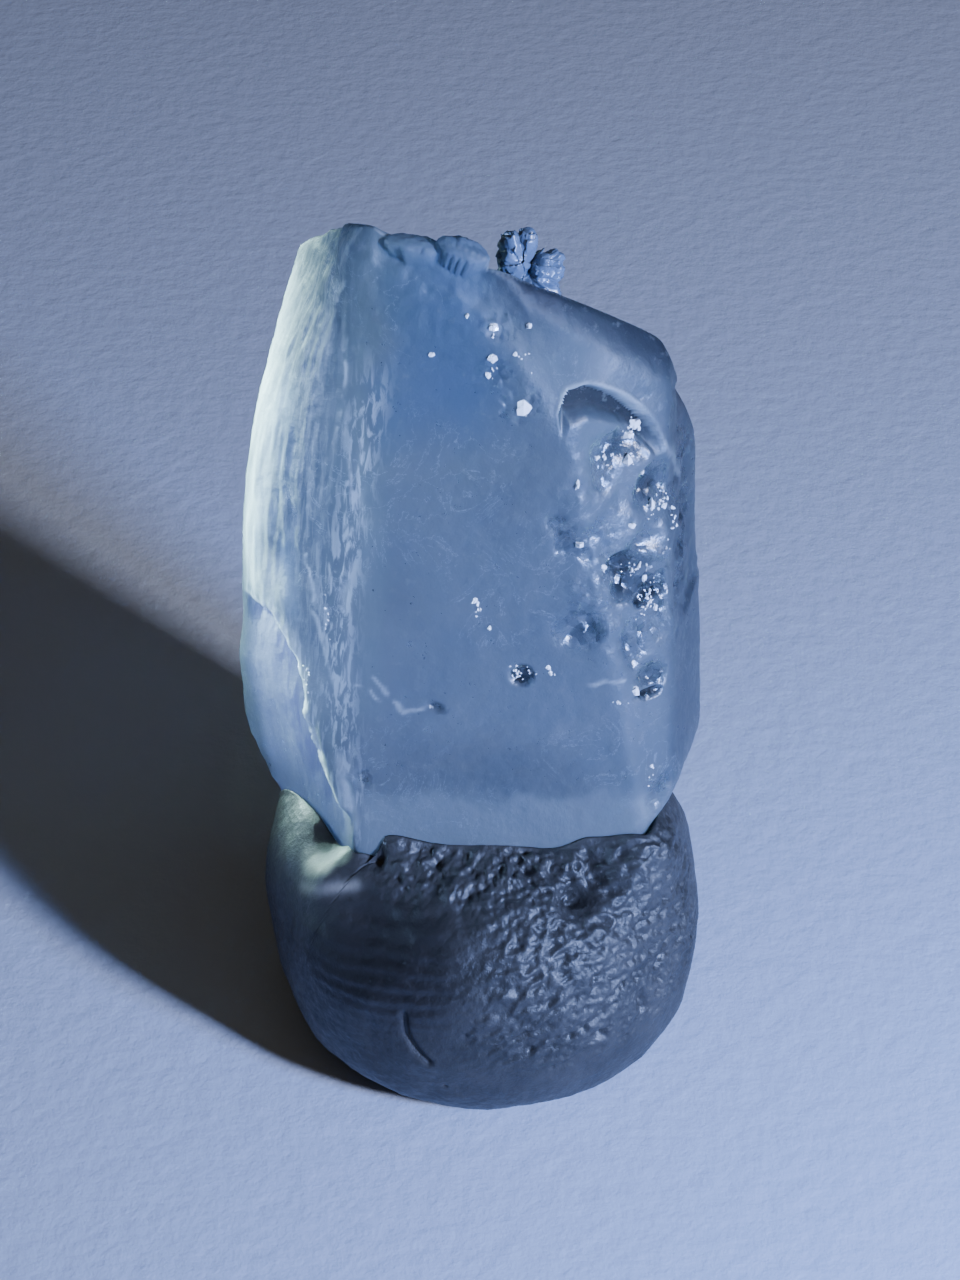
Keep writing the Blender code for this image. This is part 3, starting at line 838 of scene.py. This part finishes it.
def putty_skin():
    """The puck's skin up to where it meets the crystal, then down the socket round its foot."""
    middle = np.array((0.0, 0.0, PUTTY_MIDDLE))
    turn = putty_turns()
    row = np.linspace(0, 1, PUTTY_ROWS)
    spacing = np.interp(row, (0, 0.12, 1), (0, 0.30, 1))
    lift = -90 + (rim_lift(turn)[None, :] + 90) * spacing[:, None]
    turns = np.broadcast_to(turn[None, :], lift.shape)
    direction = outward(turns, lift)
    reach = putty_radius(direction)
    relief = putty_relief(middle + direction * reach[..., None], turns, lift)
    reach = reach + relief * smoothstep(0.0, 0.03, 1 - row)[:, None]
    falling = np.minimum(direction[..., 2], -1e-3)
    reach = np.where(direction[..., 2] < -1e-3, np.minimum(reach, -PUTTY_MIDDLE / falling), reach)
    outer = middle + direction * reach[..., None]
    rim = outer[-1]
    inside = np.array((0.0, 1.5, rim[:, 2].mean()))
    down = np.array((0, 0, -1.0))
    sink = np.linspace(0, 1, SOCKET_ROWS)[1:, None, None] * np.pi / 2
    rim_way = (rim - inside) / np.linalg.norm(rim - inside, axis=1, keepdims=True)
    way = rim_way * np.cos(sink) + down * np.sin(sink)
    way /= np.linalg.norm(way, axis=-1, keepdims=True)
    depth = face_reach(np.broadcast_to(inside, way.shape), way).min(-1) + SOCKET_GAP
    points = np.concatenate([outer, inside + way * depth[..., None]])
    turns = np.concatenate([turns, np.repeat(turns[-1:], SOCKET_ROWS - 1, 0)])
    lifts = np.concatenate([lift, np.repeat(lift[-1:], SOCKET_ROWS - 1, 0)])
    place = np.stack([turns, lifts], -1)
    folds = np.maximum.reduce([near_path(place, path, width) for path, width in SMEAR_FOLDS])
    spot = np.exp(-((turns - SMEAR_SPOT[0]) / 12) ** 2 - ((lifts - SMEAR_SPOT[1]) / 8) ** 2)
    masks = {
        "smear": folds + 0.5 * spot,
        "pressed": thumb_patch(turns, lifts, 24, 20),
        "torn": torn_patch(turns, lifts),
    }
    return points, masks


# ------------------------------------------------------------------------------------- materials

def linear(hex_colour):
    """An sRGB hex colour as linear red, green, blue and alpha."""
    parts = [int(hex_colour[i:i + 2], 16) / 255 for i in (1, 3, 5)]
    return (*(p / 12.92 if p <= 0.04045 else ((p + 0.055) / 1.055) ** 2.4 for p in parts), 1.0)


def add_node(tree, kind, inputs=None, **settings):
    """Add a node, set its properties and fill its inputs with values or with other sockets."""
    node = tree.nodes.new(kind)
    for key, value in settings.items():
        setattr(node, key, value)
    for key, value in (inputs or {}).items():
        socket = node.inputs[key]
        if isinstance(value, bpy.types.NodeSocket):
            tree.links.new(value, socket)
        else:
            socket.default_value = value
    return node


def new_material(name):
    """An empty material and its node tree."""
    material = bpy.data.materials.new(name)
    material.use_nodes = True
    material.node_tree.nodes.clear()
    return material, material.node_tree


def per_metre(millimetres):
    """Noise scale, in cells per metre of Object coordinates, for a pattern of that size."""
    return 1000.0 / millimetres


# Sockets of the Mix node that its colours use, by number, since their names repeat.
MIX_FIRST_COLOUR = 6
MIX_SECOND_COLOUR = 7
MIX_COLOUR_RESULT = 2


def tint(tree, colour, share, hex_colour):
    """Colour socket with another colour mixed in by a share."""
    inputs = {"Factor": share, MIX_FIRST_COLOUR: colour, MIX_SECOND_COLOUR: linear(hex_colour)}
    return add_node(tree, "ShaderNodeMix", inputs, data_type='RGBA').outputs[MIX_COLOUR_RESULT]


def read_masks(tree, labels):
    """The mesh's masks as number sockets, by name."""
    return {label: add_node(tree, "ShaderNodeAttribute", attribute_name=label).outputs["Fac"]
            for label in labels}


BERYL_IOR = 1.577

# Each mask's tint on the beryl, laid one over the other.  The light that comes through is
# tinted by about the square root of these, so a dark place needs a colour that is nearly black.
BERYL_TINTS = {
    "deep": "#6a839e",
    "strip": "#8a9898",
    # painted shade on the shoulder and the right faces
    "painted_shade": "#1c2433",
    # painted shade in the recess under the ledge and in the pits
    "recess_painted_shade": "#04090f",
    # painted shade: the lavender look of the shaded lower-left face
    "under": "#bfc3e2",
    # painted shade on the left faces away from the glow
    "left_painted_shade": "#1e2c45",
    # a fainter painted glow on the pale left face
    "milky_painted_glow": "#a5c4d8",
    # painted light: the glow where light comes through the left outline
    "glow": "#f4fff4",
    # white frost of wear, with painted edge light on the top lip and the lower rim
    "frost_and_painted_edge_light": "#f2fbff",
}


def beryl_material():
    """Etched aquamarine: satin faces, polished chips, white chafed edges and a pale left rind with a painted
    glow; the shoulder, right faces and hollows carry painted shade.
    """
    material, tree = new_material("etched_aquamarine_beryl")
    place = add_node(tree, "ShaderNodeTexCoord").outputs["Object"]
    mask = read_masks(tree, (*BERYL_TINTS, "fresh", "matte", "worn", "veined"))
    wisps = add_node(tree, "ShaderNodeTexNoise", {
        "Vector": place, "Scale": per_metre(4.0), "Detail": 5.0, "Roughness": 0.6, "Distortion": 0.8})
    grit = add_node(tree, "ShaderNodeTexNoise", {
        "Vector": place, "Scale": per_metre(0.35), "Detail": 4.0, "Roughness": 0.7})
    wisp_share = add_node(tree, "ShaderNodeMapRange", {
        "Value": wisps.outputs["Fac"], "From Min": 0.35, "From Max": 0.70}).outputs["Result"]
    colour = tint(tree, linear("#7d8891"), wisp_share, "#949a9e")
    for label, hex_colour in BERYL_TINTS.items():
        colour = tint(tree, colour, mask[label], hex_colour)
    grit_share = add_node(tree, "ShaderNodeMapRange", {
        "Value": grit.outputs["Fac"], "From Min": 0.58, "From Max": 0.75, "To Max": 0.35}).outputs["Result"]
    colour = tint(tree, colour, grit_share, "#b3b8b8")
    upright = add_node(tree, "ShaderNodeMapping", {"Vector": place, "Scale": (1.0, 1.0, 0.14)})
    scratches = add_node(tree, "ShaderNodeTexNoise", {
        "Vector": upright.outputs["Vector"], "Scale": per_metre(0.20), "Detail": 5.0, "Roughness": 0.6,
        "Distortion": 0.6})
    scratch_share = add_node(tree, "ShaderNodeMapRange", {
        "Value": scratches.outputs["Fac"], "From Min": 0.49, "From Max": 0.58}).outputs["Result"]
    worn_share = add_node(tree, "ShaderNodeMath", {0: scratch_share, 1: mask["worn"]}, operation='MULTIPLY')
    colour = tint(tree, colour, worn_share.outputs[0], "#f0faff")
    satin = add_node(tree, "ShaderNodeMapRange", {
        "Value": grit.outputs["Fac"], "From Min": 0.3, "From Max": 0.7, "To Min": 0.26, "To Max": 0.44})
    polished = add_node(tree, "ShaderNodeMix", {
        "Factor": mask["fresh"], 2: satin.outputs["Result"], 3: 0.14})
    frosted = add_node(tree, "ShaderNodeMath", {0: mask["frost_and_painted_edge_light"], 1: mask["matte"]}, operation='MAXIMUM')
    roughness = add_node(tree, "ShaderNodeMix", {
        "Factor": frosted.outputs[0], 2: polished.outputs[0], 3: 0.75}).outputs[0]
    threads = add_node(tree, "ShaderNodeTexNoise", {
        "Vector": place, "Scale": per_metre(2.2), "Detail": 6.0, "Roughness": 0.65, "Distortion": 1.5})
    off_middle = add_node(tree, "ShaderNodeMath", {0: threads.outputs["Fac"], 1: 0.5}, operation='SUBTRACT')
    thread_gap = add_node(tree, "ShaderNodeMath", {0: off_middle.outputs[0]}, operation='ABSOLUTE')
    thread_line = add_node(tree, "ShaderNodeMapRange", {
        "Value": thread_gap.outputs[0], "From Min": 0.0, "From Max": 0.006, "To Min": 1.0, "To Max": 0.0})
    thread_share = add_node(tree, "ShaderNodeMath", {
        0: thread_line.outputs["Result"], 1: mask["veined"]}, operation='MULTIPLY')
    colour = tint(tree, colour, thread_share.outputs[0], "#dcebf8")
    etching = add_node(tree, "ShaderNodeBump", {
        "Height": grit.outputs["Fac"], "Strength": 0.5, "Distance": 0.00006})
    facets = add_node(tree, "ShaderNodeTexVoronoi", {"Vector": place, "Scale": per_metre(0.28)})
    away = add_node(tree, "ShaderNodeVectorMath", {
        0: place, 1: facets.outputs["Position"]}, operation='SUBTRACT')
    slope = add_node(tree, "ShaderNodeVectorMath", {
        0: facets.outputs["Color"], 1: (0.5, 0.5, 0.5)}, operation='SUBTRACT')
    tilt = add_node(tree, "ShaderNodeVectorMath", {
        0: away.outputs["Vector"], 1: slope.outputs["Vector"]}, operation='DOT_PRODUCT')
    glints = add_node(tree, "ShaderNodeMath", {
        0: tilt.outputs["Value"], 1: mask["fresh"]}, operation='MULTIPLY')
    normal = add_node(tree, "ShaderNodeBump", {
        "Height": glints.outputs[0], "Strength": 0.8, "Distance": 1.2, "Normal": etching.outputs["Normal"]})
    gloss = add_node(tree, "ShaderNodeMapRange", {"Value": mask["matte"], "To Min": 0.32, "To Max": 0.0})
    shader = add_node(tree, "ShaderNodeBsdfPrincipled", {
        "Base Color": colour,
        "Roughness": roughness,
        "Specular IOR Level": gloss.outputs["Result"],
        "IOR": BERYL_IOR,
        "Transmission Weight": 0.75,
        "Normal": normal.outputs["Normal"],
    })
    haze = add_node(tree, "ShaderNodeVolumeAbsorption", {"Color": linear("#9cc4e0"), "Density": 70.0})
    add_node(tree, "ShaderNodeOutputMaterial", {
        "Surface": shader.outputs["BSDF"],
        "Volume": haze.outputs["Volume"],
    })
    return material


def grain_material(name, hex_colour, roughness):
    """Broken beryl in grains, nearly opaque; a low roughness makes it glint, and given plain white the colour
    itself paints a glint.
    """
    material, tree = new_material(name)
    shader = add_node(tree, "ShaderNodeBsdfPrincipled", {
        "Base Color": linear(hex_colour),
        "Roughness": roughness,
        "IOR": BERYL_IOR,
        "Transmission Weight": 0.08,
    })
    add_node(tree, "ShaderNodeOutputMaterial", {"Surface": shader.outputs["BSDF"]})
    return material


def putty_material():
    """Kneaded mounting putty: dark blue-grey, dull with a faint greasy sheen, paler where smeared."""
    material, tree = new_material("kneaded_mounting_putty")
    place = add_node(tree, "ShaderNodeTexCoord").outputs["Object"]
    mask = read_masks(tree, ("smear", "pressed", "torn"))
    mottle = add_node(tree, "ShaderNodeTexNoise", {
        "Vector": place, "Scale": per_metre(1.6), "Detail": 6.0, "Roughness": 0.65})
    specks = add_node(tree, "ShaderNodeTexNoise", {
        "Vector": place, "Scale": per_metre(0.22), "Detail": 3.0, "Roughness": 0.7})
    mottle_share = add_node(tree, "ShaderNodeMapRange", {
        "Value": mottle.outputs["Fac"], "From Min": 0.35, "From Max": 0.65}).outputs["Result"]
    colour = tint(tree, linear("#282725"), mottle_share, "#383634")
    colour = tint(tree, colour, mask["pressed"], "#201e1e")
    speck_share = add_node(tree, "ShaderNodeMapRange", {
        "Value": specks.outputs["Fac"], "From Min": 0.58, "From Max": 0.72}).outputs["Result"]
    pale_specks = add_node(tree, "ShaderNodeMath", {0: speck_share, 1: mask["torn"]}, operation='MULTIPLY')
    colour = tint(tree, colour, pale_specks.outputs[0], "#524f4b")
    colour = tint(tree, colour, mask["smear"], "#747069")
    roughness = add_node(tree, "ShaderNodeMapRange", {
        "Value": specks.outputs["Fac"], "From Min": 0.3, "From Max": 0.7, "To Min": 0.38, "To Max": 0.62})
    bump = add_node(tree, "ShaderNodeBump", {
        "Height": specks.outputs["Fac"], "Strength": 0.5, "Distance": 0.00008})
    shader = add_node(tree, "ShaderNodeBsdfPrincipled", {
        "Base Color": colour,
        "Roughness": roughness.outputs["Result"],
        "Normal": bump.outputs["Normal"],
    })
    add_node(tree, "ShaderNodeOutputMaterial", {"Surface": shader.outputs["BSDF"]})
    return material


def paper_material():
    """Plain pale paper: matt, with a faint laid tooth."""
    material, tree = new_material("plain_paper_floor")
    place = add_node(tree, "ShaderNodeTexCoord").outputs["Object"]
    tooth = add_node(tree, "ShaderNodeTexNoise", {
        "Vector": place, "Scale": per_metre(0.9), "Detail": 5.0, "Roughness": 0.6})
    bump = add_node(tree, "ShaderNodeBump", {
        "Height": tooth.outputs["Fac"], "Strength": 0.5, "Distance": 0.00016})
    shader = add_node(tree, "ShaderNodeBsdfPrincipled", {
        "Base Color": linear("#bbc2d0"), "Roughness": 0.9, "Normal": bump.outputs["Normal"]})
    add_node(tree, "ShaderNodeOutputMaterial", {"Surface": shader.outputs["BSDF"]})
    return material


# ---------------------------------------------------------------------------------------- pieces

def dress(piece, material, node):
    """Give a piece its material and its body, and hide the CAD part of the node it stands for."""
    piece.data.materials.append(material)
    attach(piece, "root")
    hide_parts(node)


def make_crystal(beryl):
    """The crystal's skin, and on it the grains of its broken corner, painted white so that they show as
    glints one by one.
    """
    points, masks = crystal_skin()
    dress(closed_grid("crystal_skin", points, masks), beryl, "aquamarine_crystal")
    # Painted highlight: the crumbs are plain white so that each shows as a bright glint.
    glassy = grain_material("white_crumbs_painted_glints", "#ffffff", 0.08)
    dress(make_crumbs(points), glassy, "aquamarine_crystal")


def make_crumbs(skin):
    """Clusters of tiny grains on the front of the skin, then the single brighter grains.

    A crumb's radius grows from the least to the greatest by a chance share of exp(-away^2)."""
    random = np.random.default_rng(SEED)
    front = skin[skin[..., 1] < CRUMBS_REACH_BACK]
    places, radii = [], []
    for x, z, half_x, half_z, count in SPARK_CLUSTERS:
        away = random.normal(0, 0.6, (count, 2))
        spots = np.array((x, z)) + away * (half_x, half_z)
        nearest = ((front[None, :, (0, 2)] - spots[:, None]) ** 2).sum(-1).argmin(1)
        places.append(front[nearest])
        share = np.exp(-(away ** 2).sum(-1)) * random.uniform(0.2, 1.0, count)
        radii.append(CRUMB_RADIUS[0] + share * (CRUMB_RADIUS[1] - CRUMB_RADIUS[0]))
    glints = np.array(GLINTS)
    nearest = ((front[None, :, (0, 2)] - glints[:, None, :2]) ** 2).sum(-1).argmin(1)
    places.append(front[nearest])
    radii.append(GLINT_SCALE * glints[:, 2])
    return scattered_grains("broken_grains", np.concatenate(places), np.concatenate(radii), random)


def make_spur():
    """The rough spur on the top edge: its facets are frosted grey, duller than the crumbs, whose white is a
    painted glint.
    """
    spur = closed_grid("spur_tuft", spur_skin(), {})
    frosted = grain_material("frosted_beryl_spur", "#5c6b7e", 0.30)
    dress(spur, frosted, "aquamarine_crystal")


def make_putty(putty):
    """The putty lump with its socket."""
    points, masks = putty_skin()
    dress(closed_grid("putty_lump", points, masks), putty, "putty_base")


def make_floor():
    """A flat square of paper at height 0."""
    mesh = bpy.data.meshes.new("floor")
    half = FLOOR_HALF * MM
    corners = [(-half, -half, 0), (half, -half, 0), (half, half, 0), (-half, half, 0)]
    mesh.from_pydata(corners, [], [(0, 1, 2, 3)])
    mesh.materials.append(paper_material())
    floor = bpy.data.objects.new("floor", mesh)
    bpy.context.scene.collection.objects.link(floor)


# ------------------------------------------------------------------------------ light and camera

def looking(place, forward):
    """Matrix of a camera or light at a place that looks along forward, upright."""
    forward = forward / np.linalg.norm(forward)
    right = np.cross(forward, (0, 0, 1))
    right /= np.linalg.norm(right)
    up = np.cross(right, forward)
    turn = Matrix(np.array((right, up, -forward)).T.tolist()).to_4x4()
    return Matrix.Translation(place.tolist()) @ turn


def add_area_light(name, azimuth, elevation, distance, width, watts, colour, height, spread):
    """A square soft light that looks at a height over the middle, from an azimuth and an elevation."""
    lamp = bpy.data.lights.new(name, 'AREA')
    lamp.size = width * MM
    lamp.energy = watts
    lamp.color = linear(colour)[:3]
    lamp.spread = math.radians(spread)
    thing = bpy.data.objects.new(name, lamp)
    away = outward(azimuth, elevation)
    thing.matrix_world = looking(MM * (np.array((0, 0, height)) + away * distance), -away)
    bpy.context.scene.collection.objects.link(thing)


def make_lights():
    """A dim room and the soft lamps: a blue key and its fill from the right, light from above, and
    two narrow ones that make the left side glow."""
    world = bpy.data.worlds.new("studio")
    world.use_nodes = True
    backdrop = world.node_tree.nodes["Background"].inputs
    backdrop["Color"].default_value = linear(ROOM_COLOUR)
    backdrop["Strength"].default_value = ROOM_STRENGTH
    bpy.context.scene.world = world
    for name, lamp in LAMPS.items():
        add_area_light(name, *lamp)


def make_camera():
    """The camera looks level along +Y, tipped down by its elevation, and slides without turning."""
    camera = bpy.data.cameras.new("camera")
    camera.lens = CAMERA_LENS
    camera.clip_start = CAMERA_NEAREST * MM
    thing = bpy.data.objects.new("camera", camera)
    e = math.radians(CAMERA_ELEVATION)
    forward = np.array((0, math.cos(e), -math.sin(e)))
    up = np.array((0, math.sin(e), math.cos(e)))
    place = CAMERA_AIM - CAMERA_DISTANCE * forward + CAMERA_RISE * up
    place = place + np.array((CAMERA_SIDE, 0, 0))
    thing.matrix_world = looking(place * MM, forward)
    bpy.context.scene.collection.objects.link(thing)
    bpy.context.scene.camera = thing


make_camera()
make_lights()
make_floor()
make_crystal(beryl_material())
make_spur()
make_putty(putty_material())
